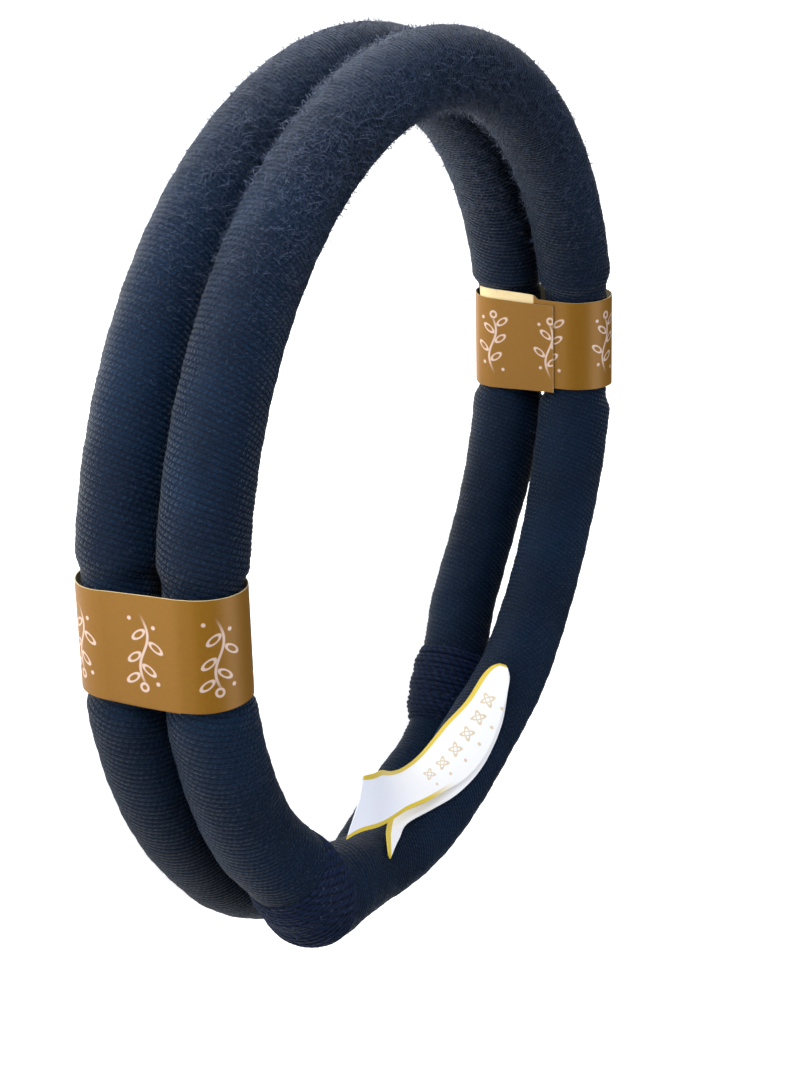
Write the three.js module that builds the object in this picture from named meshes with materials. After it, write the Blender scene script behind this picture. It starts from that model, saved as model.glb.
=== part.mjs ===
import * as THREE from "three";

// Head cord of wound wool: two coils stacked to one ring, lying on its lower coil, floor at Z = 0.
// Millimetres, +Z up. Angles in degrees, anticlockwise from +X seen from above, the joins at +Y.
const COIL_RADIUS = 100; // mean radius of the ring to the middle of the cord
const CORD_WIDTH = 20.2; // across the cord, level
const CORD_HEIGHT = 19.6; // across the cord, upright, a little pressed
const PIECE_GAP = 0.3; // air between pieces that touch
const CENTRE_X = -0.99; // puts the origin under the middle of the outline
const CENTRE_Y = 8.58;

const SECTION_SIDES = 16; // an even count gives a flat under each coil
const STATION_STEP = 3; // degrees from one section to the next

// The ring is oval. Each row: how many lobes, their height as a share of COIL_RADIUS, where one lies.
const OVAL = [
  { lobes: 2, share: 0.0644, at: 21.65 },
  { lobes: 3, share: 0.0134, at: 66.2 },
  { lobes: 4, share: 0.0024, at: 73.9 },
];

// How far the lower coil swings out between its join and that of the upper one, in cord widths.
const LOWER_SWING = [
  { at: 44, share: 0 },
  { at: 52, share: 0.05 },
  { at: 60, share: 0.09 },
  { at: 68, share: 0.19 },
  { at: 74, share: 0.4 },
  { at: 80, share: 0.68 },
  { at: 86, share: 0.87 },
  { at: 92, share: 0.92 },
  { at: 100, share: 0.85 },
  { at: 108, share: 0.79 },
  { at: 116, share: 0.78 },
  { at: 121, share: 0.65 },
  { at: 126, share: 0.41 },
  { at: 132, share: 0.2 },
  { at: 141, share: 0.05 },
  { at: 150, share: 0 },
];

// The same for the upper coil, which bends out at its own join and in just past it.
const UPPER_SWING = [
  { at: 41, share: 0 },
  { at: 47, share: 0.03 },
  { at: 51, share: 0.11 },
  { at: 55, share: 0.2 },
  { at: 58, share: 0.17 },
  { at: 62, share: 0.02 },
  { at: 65, share: -0.03 },
  { at: 72, share: -0.06 },
  { at: 80, share: -0.05 },
  { at: 96, share: 0 },
];

// Cord thickness round each coil, as a share of the full cord: thinner where it is pulled straight.
const LOWER_GIRTH = [
  { at: 56, share: 1 },
  { at: 74, share: 0.86 },
  { at: 90, share: 0.8 },
  { at: 108, share: 0.8 },
  { at: 120, share: 0.87 },
  { at: 132, share: 0.9 },
  { at: 155, share: 0.9 },
  { at: 172, share: 1 },
];
const UPPER_GIRTH = [
  { at: 64, share: 1 },
  { at: 72, share: 0.94 },
  { at: 84, share: 0.97 },
  { at: 112, share: 1 },
  { at: 132, share: 0.94 },
  { at: 152, share: 0.94 },
  { at: 170, share: 1 },
];

// Rise of each coil above its usual height, in cord heights: at the joins, and where a join lifts it.
const LOWER_RISE = [
  { at: 106, share: 0 },
  { at: 120, share: 0.13 },
  { at: 128, share: 0.13 },
  { at: 142, share: 0 },
];
const UPPER_RISE = [
  { at: 36, share: 0 },
  { at: 45, share: 0.1 },
  { at: 58, share: 0.1 },
  { at: 70, share: 0.02 },
  { at: 78, share: 0 },
  { at: 112, share: 0 },
  { at: 128, share: 0.08 },
  { at: 140, share: 0.06 },
  { at: 160, share: 0.01 },
  { at: 172, share: 0 },
];

// The bound joins, thick yarn wound round the cord. Each row: where along the coil, how far the yarn
// stands off the cord all round, and how much further it stands out of the ring.
const UPPER_BINDING = [
  { at: 45, wall: 0.8, outside: 0 },
  { at: 46.5, wall: 1, outside: 0 },
  { at: 48.5, wall: 1, outside: 0.1 },
  { at: 50.5, wall: 1.1, outside: 0.2 },
  { at: 52.5, wall: 1.2, outside: 0.4 },
  { at: 54.5, wall: 1.3, outside: 0.5 },
  { at: 56.3, wall: 1.2, outside: 0.4 },
  { at: 57.3, wall: 0.8, outside: 0 },
];
const LOWER_BINDING = [
  { at: 120.5, wall: 0.8, outside: 0 },
  { at: 121.5, wall: 1.7, outside: 0 },
  { at: 123, wall: 2.1, outside: 0 },
  { at: 125, wall: 1.9, outside: 0 },
  { at: 127, wall: 1.9, outside: 0 },
  { at: 129, wall: 1.9, outside: 0 },
  { at: 130.5, wall: 1.4, outside: 0 },
  { at: 131.5, wall: 0.8, outside: 0 },
];

// The paper bands. Each is a strip wrapped round both coils, its end lapped over its start on one
// side: 1 is out of the ring, -1 into it. The lap runs between two heights above the floor.
const BAND_LENGTH = 25; // along the cord
const BAND_WIDTH = 20.4; // over the paper, level
const BAND_WALL = 0.8;
const BAND_LAP_RISE = 0.4;
const BAND_PRESS = 1.6; // how far it draws the cord in all round
const PRESS_FULL = 7.4; // degrees from the middle of a band, as far as it presses
const PRESS_FREE = 8.4; // and where the cord is full again
const NEAR_BAND = { at: 5.5, side: 1, lapLow: 11, lapHigh: 28.5 };
const FAR_BAND = { at: 184.8, side: -1, lapLow: 27, lapHigh: 60 };

// The satin label, folded at its top end: the back half from its tail up to the fold, then the front
// half down to its free end. Each row has its lower and its higher edge: where round the ring, how
// high, and how far off the cord of the upper coil.
const LABEL_WALL = 1;
const LABEL_ACROSS = 4; // steps across the ribbon
const LABEL = [
  { lowAt: 68.6, lowZ: 38.6, lowOff: 1.1, highAt: 68.5, highZ: 39.2, highOff: 1.1 },
  { lowAt: 71.2, lowZ: 35.9, lowOff: 1.1, highAt: 71.2, highZ: 37.9, highOff: 1.1 },
  { lowAt: 74.5, lowZ: 33.1, lowOff: 1.1, highAt: 74.5, highZ: 36.6, highOff: 1.1 },
  { lowAt: 80.5, lowZ: 29.9, lowOff: 1.1, highAt: 79.5, highZ: 35, highOff: 1.1 },
  { lowAt: 90.8, lowZ: 27, lowOff: 1.1, highAt: 86.7, highZ: 36.1, highOff: 1.1 },
  { lowAt: 99.1, lowZ: 26, lowOff: 1.1, highAt: 93.9, highZ: 37.7, highOff: 1.1 },
  { lowAt: 104.1, lowZ: 26.2, lowOff: 1.1, highAt: 101.3, highZ: 38.7, highOff: 1.1 },
  { lowAt: 109.2, lowZ: 26.8, lowOff: 1.1, highAt: 107.6, highZ: 38.8, highOff: 1.1 },
  { lowAt: 113.8, lowZ: 28.5, lowOff: 1.1, highAt: 114.1, highZ: 38.2, highOff: 1.1 },
  { lowAt: 119.4, lowZ: 29.4, lowOff: 1.1, highAt: 120, highZ: 36.6, highOff: 1.1 },
  { lowAt: 122.2, lowZ: 30.2, lowOff: 1.1, highAt: 122.6, highZ: 35.6, highOff: 1.1 },
  { lowAt: 123.3, lowZ: 30.6, lowOff: 1.3, highAt: 123.8, highZ: 34.8, highOff: 1.3 },
  { lowAt: 123.7, lowZ: 30.7, lowOff: 1.8, highAt: 124.2, highZ: 34.7, highOff: 1.8 },
  { lowAt: 123.3, lowZ: 30.6, lowOff: 2.3, highAt: 123.8, highZ: 34.8, highOff: 2.3 },
  { lowAt: 122.2, lowZ: 30.2, lowOff: 2.5, highAt: 122.6, highZ: 35.6, highOff: 2.5 },
  { lowAt: 119.8, lowZ: 29.4, lowOff: 2.5, highAt: 119.9, highZ: 37, highOff: 2.5 },
  { lowAt: 113.9, lowZ: 28.7, lowOff: 2.5, highAt: 113, highZ: 38.4, highOff: 2.5 },
  { lowAt: 108.1, lowZ: 26.6, lowOff: 2.5, highAt: 105.5, highZ: 39, highOff: 2.5 },
  { lowAt: 103.7, lowZ: 25.8, lowOff: 2.5, highAt: 98.8, highZ: 38.4, highOff: 2.5 },
  { lowAt: 98.8, lowZ: 25.2, lowOff: 2.8, highAt: 92.5, highZ: 37.1, highOff: 3 },
  { lowAt: 91.2, lowZ: 25.2, lowOff: 5.4, highAt: 84.6, highZ: 35.9, highOff: 3.8 },
  { lowAt: 85.5, lowZ: 26.4, lowOff: 8.6, highAt: 79, highZ: 34.6, highOff: 3.9 },
  { lowAt: 77, lowZ: 29.6, lowOff: 13.8, highAt: 71.6, highZ: 34.8, highOff: 4 },
  { lowAt: 71.5, lowZ: 31, lowOff: 15.2, highAt: 66.8, highZ: 35, highOff: 3.8 },
  { lowAt: 67.6, lowZ: 31.2, lowOff: 15.4, highAt: 61.6, highZ: 34.2, highOff: 3.2 },
];

const radians = THREE.MathUtils.degToRad;

// A smooth line through a table of angles, zero slope before its first row and past its last.
function along(table, at) {
  const turn = ((at % 360) + 360) % 360;
  const last = table.length - 1;
  if (turn <= table[0].at) return table[0].share;
  if (turn >= table[last].at) return table[last].share;
  const i = table.findIndex((row) => row.at > turn) - 1;
  const slope = (k) => {
    if (k <= 0 || k >= last) return 0;
    return (table[k + 1].share - table[k - 1].share) / (table[k + 1].at - table[k - 1].at);
  };
  const width = table[i + 1].at - table[i].at;
  const t = (turn - table[i].at) / width;
  const ease = t * t * (3 - 2 * t);
  const rise = slope(i) * width * t * (1 - t) * (1 - t);
  const fall = slope(i + 1) * width * t * t * (t - 1);
  return table[i].share * (1 - ease) + table[i + 1].share * ease + rise + fall;
}

function ovalRadius(at) {
  return OVAL.reduce(
    (sum, row) => sum + COIL_RADIUS * row.share * Math.cos(radians(row.lobes * (at - row.at))),
    COIL_RADIUS,
  );
}

// The middle of the cord in each coil.
function lowerMiddle(at) {
  const radius = ovalRadius(at) + CORD_WIDTH * along(LOWER_SWING, at);
  const z = CORD_HEIGHT * (along(LOWER_GIRTH, at) / 2 + along(LOWER_RISE, at));
  return new THREE.Vector3(radius * Math.cos(radians(at)), radius * Math.sin(radians(at)), z);
}

function upperMiddle(at) {
  const radius = ovalRadius(at) + CORD_WIDTH * along(UPPER_SWING, at);
  const z = CORD_HEIGHT * (1.5 + along(UPPER_RISE, at)) + PIECE_GAP;
  return new THREE.Vector3(radius * Math.cos(radians(at)), radius * Math.sin(radians(at)), z);
}

// Level direction out of the ring, square to the cord.
function outward(middle, at) {
  const run = middle(at + 0.5).sub(middle(at - 0.5));
  return new THREE.Vector3(run.y, -run.x, 0).normalize();
}

// One loop of points round the cord, flat at the bottom and the top.
function sectionLoop(middle, at, halfWide, halfTall) {
  const centre = middle(at);
  const out = outward(middle, at);
  const flat = Math.cos(Math.PI / SECTION_SIDES);
  return Array.from({ length: SECTION_SIDES }, (_, k) => {
    const angle = (2 * Math.PI * (k + 0.5)) / SECTION_SIDES - Math.PI / 2;
    const point = centre.clone().addScaledVector(out, (halfWide * Math.cos(angle)) / flat);
    point.z += (halfTall * Math.sin(angle)) / flat;
    return point;
  });
}

// Joins loops of equal count to a skin, each loop to the next. Closed runs back to the first.
function skin(loops, closed) {
  const count = loops[0].length;
  const corners = loops.flat().flatMap((point) => point.toArray());
  const faces = [];
  const rows = closed ? loops.length : loops.length - 1;
  for (let i = 0; i < rows; i += 1) {
    for (let k = 0; k < count; k += 1) {
      const a = i * count + k;
      const b = i * count + ((k + 1) % count);
      const c = ((i + 1) % loops.length) * count + ((k + 1) % count);
      const d = ((i + 1) % loops.length) * count + k;
      faces.push(a, d, b, b, d, c);
    }
  }
  if (!closed) {
    const end = (loops.length - 1) * count;
    for (let k = 0; k < count / 2 - 1; k += 1) {
      faces.push(k, k + 1, count - 1 - k, k + 1, count - 2 - k, count - 1 - k);
      faces.push(end + k + 1, end + k, end + count - 1 - k);
      faces.push(end + count - 2 - k, end + k + 1, end + count - 1 - k);
    }
  }
  const geometry = new THREE.BufferGeometry();
  geometry.setAttribute("position", new THREE.Float32BufferAttribute(corners, 3));
  geometry.setIndex(faces);
  geometry.computeVertexNormals();
  return geometry;
}

function named(name, geometry, colour, roughness) {
  const look = new THREE.MeshStandardMaterial({ color: colour, roughness, metalness: 0 });
  const mesh = new THREE.Mesh(geometry, look);
  mesh.name = name;
  return mesh;
}

// Share of its full thickness that a cord keeps where a paper band presses it.
function pressed(at) {
  const away = (band) => Math.abs(((at - band.at + 540) % 360) - 180);
  const nearest = Math.min(away(NEAR_BAND), away(FAR_BAND));
  return nearest < (PRESS_FULL + PRESS_FREE) / 2 ? 1 - (2 * BAND_PRESS) / CORD_WIDTH : 1;
}

// Angles of a coil's sections: even steps, and closer ones at the edges of the paper bands.
function stations() {
  const bands = [NEAR_BAND, FAR_BAND];
  const list = [];
  for (let at = STATION_STEP; at <= 360; at += STATION_STEP) {
    const clear = bands.every((band) => Math.abs(((at - band.at + 540) % 360) - 180) > PRESS_FREE + 1);
    if (clear) list.push(at);
  }
  for (const band of bands) {
    for (const away of [-PRESS_FREE, -PRESS_FULL, -PRESS_FULL / 2, 0]) {
      list.push(band.at + away);
      if (away < 0) list.push(band.at - away);
    }
  }
  return list.map((at) => (at + 360) % 360).sort((a, b) => a - b);
}

function coil(middle, girth) {
  const loops = stations().map((at) => {
    const share = along(girth, at) * pressed(at);
    return sectionLoop(middle, at, (CORD_WIDTH / 2) * share, (CORD_HEIGHT / 2) * share);
  });
  return skin(loops, true);
}

// A sleeve round a coil: its outer loops, then its inner ones the other way, as one closed tube.
function binding(middle, girth, rows) {
  const shell = (row, wall, outside) => {
    const stand = PIECE_GAP + wall;
    const wide = (CORD_WIDTH / 2) * along(girth, row.at) + stand + outside / 2;
    const tall = (CORD_HEIGHT / 2) * along(girth, row.at) + stand;
    const shift = outward(middle, row.at).multiplyScalar(outside / 2);
    return sectionLoop(middle, row.at, wide, tall).map((point) => point.add(shift));
  };
  const outer = rows.map((row) => shell(row, row.wall, row.outside));
  const inner = rows.map((row) => shell(row, 0, 0)).reverse();
  return skin([...outer, ...inner], true);
}

// Half of a band's outline, over the upper cord (up = 1) or under the lower one (up = -1).
function capPoints(centreZ, inset, up) {
  const flat = Math.cos(Math.PI / SECTION_SIDES);
  return Array.from({ length: SECTION_SIDES / 2 }, (_, k) => {
    const angle = (2 * Math.PI * (k + 0.5)) / SECTION_SIDES;
    const x = (up * (BAND_WIDTH / 2 - inset) * Math.cos(angle)) / flat;
    const z = centreZ + (up * (CORD_HEIGHT / 2 - inset) * Math.sin(angle)) / flat;
    return { x, z, outX: up * Math.cos(angle), outZ: up * Math.sin(angle) };
  });
}

// The outside of a band with its lap standing up as one long step.
function lappedOutline(band, lowZ, highZ) {
  const upper = capPoints(highZ, 0, 1);
  const lower = capPoints(lowZ, 0, -1);
  const onWall = (z) => ({ x: (band.side * BAND_WIDTH) / 2, z, outX: band.side, outZ: 0 });
  const raised = (point) => ({
    x: point.x + BAND_LAP_RISE * point.outX,
    z: point.z + BAND_LAP_RISE * point.outZ,
  });
  const step = (point, first) => (first ? [point, raised(point)] : [raised(point), point]);
  if (band.side > 0) {
    const lap = [...step(onWall(band.lapLow), true), ...step(onWall(band.lapHigh), false)];
    return [...upper, ...lower, ...lap];
  }
  const top = { x: 0, z: highZ + CORD_HEIGHT / 2, outX: 0, outZ: 1 };
  const half = upper.length / 2;
  const over = upper.slice(half).map(raised);
  const end = step(onWall(band.lapLow), false);
  return [...upper.slice(0, half), ...step(top, true), ...over, ...end, ...lower];
}

// A paper strip round both coils, straight along the cord, with a flat under it. It stands halfway
// between the cord's line at its middle and at its two ends.
function paperBand(band) {
  const ends = lowerMiddle(band.at - PRESS_FULL).lerp(lowerMiddle(band.at + PRESS_FULL), 0.5);
  const low = lowerMiddle(band.at).lerp(ends, 0.5);
  const high = upperMiddle(band.at);
  const out = outward(lowerMiddle, band.at);
  const run = new THREE.Vector3(-out.y, out.x, 0);
  const vector = (point) => new THREE.Vector2(point.x, point.z);
  const shape = new THREE.Shape(lappedOutline(band, low.z, high.z).map(vector));
  const inside = [...capPoints(high.z, BAND_WALL, 1), ...capPoints(low.z, BAND_WALL, -1)];
  shape.holes.push(new THREE.Path(inside.map(vector)));
  const geometry = new THREE.ExtrudeGeometry(shape, { depth: BAND_LENGTH, bevelEnabled: false });
  geometry.translate(0, 0, -BAND_LENGTH / 2);
  const up = new THREE.Vector3(0, 0, 1);
  const frame = new THREE.Matrix4().makeBasis(out, up, run.clone().negate());
  frame.setPosition(low.x, low.y, 0);
  return geometry.applyMatrix4(frame);
}

// A point of the label: beside the upper coil's cord, following its round section above its middle.
function besideUpper(at, z, off) {
  const middle = upperMiddle(at);
  const share = along(UPPER_GIRTH, at);
  const tall = (CORD_HEIGHT / 2) * share + off;
  const rise = Math.min(Math.max(z - middle.z, 0) / tall, 1);
  const wide = ((CORD_WIDTH / 2) * share + off) * Math.sqrt(1 - rise * rise);
  const point = middle.addScaledVector(outward(upperMiddle, at), -wide);
  point.z = z;
  return point;
}

// The folded ribbon: both faces of its middle sheet, and the rim that joins them.
function label() {
  const mix = (row, name, share) => row[`low${name}`] * (1 - share) + row[`high${name}`] * share;
  const sheet = LABEL.map((row) =>
    Array.from({ length: LABEL_ACROSS + 1 }, (_, k) => {
      const share = k / LABEL_ACROSS;
      return besideUpper(mix(row, "At", share), mix(row, "Z", share), mix(row, "Off", share));
    }),
  );
  const last = sheet.length - 1;
  const normal = (i, k) => {
    const ahead = sheet[Math.min(i + 1, last)][k].clone().sub(sheet[Math.max(i - 1, 0)][k]);
    const across = sheet[i][Math.min(k + 1, LABEL_ACROSS)].clone().sub(sheet[i][Math.max(k - 1, 0)]);
    return ahead.cross(across).normalize();
  };
  const face = (side) =>
    sheet.map((row, i) =>
      row.map((point, k) => point.clone().addScaledVector(normal(i, k), (side * LABEL_WALL) / 2)),
    );
  const front = face(1);
  const back = face(-1);
  const loops = front.map((row, i) => [...row, ...back[i].slice().reverse()]);
  return skin(loops, false);
}

const headCord = new THREE.Group();
headCord.name = "head_cord";
headCord.add(named("lower_coil", coil(lowerMiddle, LOWER_GIRTH), 0x141f33, 0.95));
headCord.add(named("upper_coil", coil(upperMiddle, UPPER_GIRTH), 0x16233a, 0.95));
headCord.add(named("lower_binding", binding(lowerMiddle, LOWER_GIRTH, LOWER_BINDING), 0x121c30, 0.97));
headCord.add(named("upper_binding", binding(upperMiddle, UPPER_GIRTH, UPPER_BINDING), 0x121a30, 0.97));
headCord.add(named("near_paper_band", paperBand(NEAR_BAND), 0x9a6f30, 0.5));
headCord.add(named("far_paper_band", paperBand(FAR_BAND), 0x9a6f30, 0.5));
headCord.add(named("satin_label", label(), 0xe9e6da, 0.4));
headCord.position.set(-CENTRE_X, -CENTRE_Y, 0);

export default headCord;
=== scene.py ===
import math

import bpy
import numpy as np
from mathutils import Matrix, Vector


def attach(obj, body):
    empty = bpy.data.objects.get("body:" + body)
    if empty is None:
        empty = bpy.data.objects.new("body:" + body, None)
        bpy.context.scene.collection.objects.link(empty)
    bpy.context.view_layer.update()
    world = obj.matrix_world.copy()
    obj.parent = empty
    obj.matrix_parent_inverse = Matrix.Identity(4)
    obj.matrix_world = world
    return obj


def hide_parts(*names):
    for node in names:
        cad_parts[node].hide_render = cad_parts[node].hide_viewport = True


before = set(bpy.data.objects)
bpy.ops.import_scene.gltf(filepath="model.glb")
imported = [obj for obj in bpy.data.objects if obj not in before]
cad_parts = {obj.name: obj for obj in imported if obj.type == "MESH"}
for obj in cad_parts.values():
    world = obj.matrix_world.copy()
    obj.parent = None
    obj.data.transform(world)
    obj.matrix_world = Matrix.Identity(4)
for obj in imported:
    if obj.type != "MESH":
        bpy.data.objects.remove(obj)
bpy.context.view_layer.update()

# Millimetres and degrees up to the meshes, which are in metres. Same sizes as the CAD model.
MM = 0.001
CENTRE = np.array([-0.99, 8.58, 0.0])
COIL_RADIUS = 100.0
CORD_WIDTH = 20.2
CORD_HEIGHT = 19.6
PIECE_GAP = 0.3
OVAL = ((2, 0.0644, 21.65), (3, 0.0134, 66.2), (4, 0.0024, 73.9))  # lobes, share, where one lies
LOWER_SWING = (
    (44, 0), (52, 0.05), (60, 0.09), (68, 0.19), (74, 0.4), (80, 0.68), (86, 0.87), (92, 0.92),
    (100, 0.85), (108, 0.79), (116, 0.78), (121, 0.65), (126, 0.41), (132, 0.2), (141, 0.05), (150, 0),
)
UPPER_SWING = (
    (41, 0), (47, 0.03), (51, 0.11), (55, 0.2), (58, 0.17), (62, 0.02), (65, -0.03), (72, -0.06),
    (80, -0.05), (96, 0),
)
LOWER_GIRTH = ((56, 1), (74, 0.86), (90, 0.8), (108, 0.8), (120, 0.87), (132, 0.9), (155, 0.9), (172, 1))
UPPER_GIRTH = ((64, 1), (72, 0.94), (84, 0.97), (112, 1), (132, 0.94), (152, 0.94), (170, 1))
LOWER_RISE = ((106, 0), (120, 0.13), (128, 0.13), (142, 0))
UPPER_RISE = (
    (36, 0), (45, 0.1), (58, 0.1), (70, 0.02), (78, 0), (112, 0), (128, 0.08), (140, 0.06), (160, 0.01),
    (172, 0),
)
UPPER_BINDING = (45.3, 57.0)  # from and to, degrees round the ring
LOWER_BINDING = (120.8, 131.2)

WINDING = 1.3  # pitch of the yarn wound round the cord
WINDING_ROWS = 3  # mesh rows in each winding: one in the groove, two on the yarn
WINDING_LEAN = 11  # windings that the yarn gains on its way round the cord
SIDES = 40
RIDGE = 0.14  # height of a winding over its groove
PLY = 1.25  # length of one twist of the yarn

BAND_LENGTH = 25.0
BAND_WIDTH = 20.4
PAPER = 0.3
LAP_RISE = 0.4
# Where each band is and how far to each side it presses the wool, in degrees. Then the side of its lap, 1 on
# the outside of the ring, the heights of its start and end, how far it strays sideways in one turn, how much
# its unprinted start sticks out, and where its print begins.
NEAR_BAND = {
    "at": 5.5, "press": 6.9, "side": 1, "start": 28.5, "end": 11.0, "skew": 0.4, "tab": 0.0, "first": 1.3,
}
FAR_BAND = {
    "at": 184.8, "press": 8.0, "side": -1, "start": 4.0, "end": 27.0, "skew": 1.2, "tab": 1.1, "first": 4.0,
}
PRINT_REPEAT = 17.0
TAB_LENGTH = 17.0  # unprinted start of the far strip
NO_TAB = -5.0  # for a strip that is printed from its start on
BAND_SPREAD = 7.4  # degrees from a band's middle to its edges
BAND_COLUMNS = 15
HALF_ROUND = 40  # steps over the top of a band, and as many under it

# The ribbon: lower edge (degrees, height, off the cord), then its upper edge.
LABEL = (
    (68.6, 38.6, 1.1, 68.5, 39.2, 1.1),
    (71.2, 35.9, 1.1, 71.2, 37.9, 1.1),
    (74.5, 33.1, 1.1, 74.5, 36.6, 1.1),
    (80.5, 29.9, 1.1, 79.5, 35, 1.1),
    (90.8, 27, 1.1, 86.7, 36.1, 1.1),
    (99.1, 26, 1.1, 93.9, 37.7, 1.1),
    (104.1, 26.2, 1.1, 101.3, 38.7, 1.1),
    (109.2, 26.8, 1.1, 107.6, 38.8, 1.1),
    (113.8, 28.5, 1.1, 114.1, 38.2, 1.1),
    (119.4, 29.4, 1.1, 120, 36.6, 1.1),
    (122.0, 30.1, 1.1, 122.3, 35.9, 1.1),
    (123.4, 31.1, 1.3, 123.5, 35.1, 1.3),
    (124.3, 32.5, 1.8, 124.3, 34.0, 1.8),
    (123.4, 31.1, 2.3, 123.5, 35.1, 2.3),
    (122.0, 30.1, 2.5, 122.3, 35.9, 2.5),
    (119.8, 29.4, 2.5, 119.9, 37, 2.5),
    (113.9, 28.7, 2.5, 113, 38.4, 2.5),
    (108.1, 26.6, 2.5, 105.5, 39, 2.5),
    (103.7, 25.8, 2.5, 98.8, 38.4, 2.5),
    (98.8, 25.2, 2.8, 92.5, 37.1, 3),
    (91.2, 25.2, 5.4, 84.6, 35.9, 3.8),
    (85.5, 26.4, 8.6, 79, 34.6, 3.9),
    (77, 29.6, 13.8, 71.6, 34.8, 4),
    (71.5, 31, 15.2, 66.8, 35, 3.8),
    (67.6, 31.2, 15.4, 61.6, 34.2, 3.2),
)
LABEL_FOLD_ROW = 12
LABEL_ROWS, LABEL_COLUMNS = 5, 13  # mesh rows to each row above, and mesh columns
RIBBON = 0.35
UNDER_LABEL = (94, 30)  # middle and reach of the cord under the label, degrees
UNDER_BAND = 7.2  # degrees to each side of a band's middle that have no fuzz

YARN_ROWS, YARN_SIDES = 44, 10  # of the binding yarn, in each of its turns
WANDER_EVERY = 30  # rows between two random shifts of that yarn
SLEEVE_LOOPS, SLEEVE_SIDES = 12, 40  # loops on each face of the sleeve under that yarn
TAPER = 0.28  # share of a binding over which each end runs out
CORD_GIRTH = 62.6  # way round the cord
WRAP_GIRTH = 64  # way of the binding yarn in one turn
OFF_FLOOR = 0.02  # least height of the wool
HAIR_OFF_FLOOR = 0.00005  # least height of the hairs, metres
WRAP_FUZZ = {"Hairs_per_square_metre": 300000.0, "Hair_length": 0.0005}


# ---- shape ----
def along(table, at):
    """Smooth value round the ring, level before the table's first row and past its last."""
    rows = np.array(table, float)
    x, y = rows[:, 0], rows[:, 1]
    slope = np.zeros(len(x))
    slope[1:-1] = (y[2:] - y[:-2]) / (x[2:] - x[:-2])
    turn = np.clip(np.mod(at, 360), x[0], x[-1])
    i = np.clip(np.searchsorted(x, turn, side="right") - 1, 0, len(x) - 2)
    width = x[i + 1] - x[i]
    t = (turn - x[i]) / width
    ease = t * t * (3 - 2 * t)
    rise = slope[i] * width * t * (1 - t) ** 2
    fall = slope[i + 1] * width * t * t * (t - 1)
    return y[i] * (1 - ease) + y[i + 1] * ease + rise + fall


def ring_line(at, swing, height):
    """Points at those angles, as far out as the oval plus the swing, at those heights."""
    at = np.asarray(at, float)
    radius = np.full(at.shape, COIL_RADIUS)
    for lobes, share, where in OVAL:
        radius = radius + COIL_RADIUS * share * np.cos(np.radians(lobes * (at - where)))
    radius = radius + CORD_WIDTH * along(swing, at)
    angle = np.radians(at)
    return np.stack([radius * np.cos(angle), radius * np.sin(angle), height], -1) - CENTRE


def lower_middle(at):
    height = CORD_HEIGHT * (along(LOWER_GIRTH, at) / 2 + along(LOWER_RISE, at))
    return ring_line(at, LOWER_SWING, height)


def upper_middle(at):
    return ring_line(at, UPPER_SWING, CORD_HEIGHT * (1.5 + along(UPPER_RISE, at)) + PIECE_GAP)


def outward(middle, at):
    """Level direction out of the ring, square to the cord."""
    run = middle(np.asarray(at) + 0.5) - middle(np.asarray(at) - 0.5)
    out = np.stack([run[..., 1], -run[..., 0], np.zeros(run.shape[:-1])], -1)
    return out / np.linalg.norm(out, axis=-1, keepdims=True)


def smooth(low, high, value):
    t = np.clip((value - low) / (high - low), 0, 1)
    return t * t * (3 - 2 * t)


def pressed(at):
    """Share of its thickness that the cord keeps, less under the paper bands."""
    keep = np.ones(np.shape(at))
    for band in (NEAR_BAND, FAR_BAND):
        away = np.abs(np.mod(at - band["at"] + 180, 360) - 180)
        keep = keep - 0.14 * (1 - smooth(band["press"], band["press"] + 2.4, away))
    return keep


def angle_by_length(middle):
    """Length of the coil, and a function from length along it to angle round the ring."""
    at = np.arange(0, 360.01, 0.25)
    step = np.linalg.norm(np.diff(middle(at), axis=0), axis=1)
    run = np.concatenate([[0], np.cumsum(step)])
    return run[-1], lambda s: np.interp(np.mod(s, run[-1]), run, at)


# ---- meshes ----
def new_mesh(name, points, faces, uv, materials, material_of=None, attribute=None):
    """A smooth-shaded object with its UV map in millimetres. The points come in millimetres."""
    mesh = bpy.data.meshes.new(name)
    faces = np.asarray(faces)
    count, corners = faces.shape
    mesh.vertices.add(len(points))
    mesh.vertices.foreach_set("co", (np.asarray(points) * MM).astype(np.float32).ravel())
    mesh.loops.add(count * corners)
    mesh.loops.foreach_set("vertex_index", faces.astype(np.int32).ravel())
    mesh.polygons.add(count)
    mesh.polygons.foreach_set("loop_start", np.arange(0, count * corners, corners, dtype=np.int32))
    mesh.polygons.foreach_set("loop_total", np.full(count, corners, dtype=np.int32))
    for material in materials:
        mesh.materials.append(material)
    if material_of is not None:
        mesh.polygons.foreach_set("material_index", np.asarray(material_of, dtype=np.int32))
    mesh.update(calc_edges=True)
    layer = mesh.uv_layers.new(name="millimetres")
    layer.data.foreach_set("uv", np.asarray(uv, dtype=np.float32).ravel())
    if attribute is not None:
        field = mesh.attributes.new(attribute[0], "FLOAT", "POINT")
        field.data.foreach_set("value", np.asarray(attribute[1], dtype=np.float32).ravel())
    mesh.validate()
    mesh.shade_smooth()
    obj = bpy.data.objects.new(name, mesh)
    bpy.context.scene.collection.objects.link(obj)
    return obj


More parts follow.
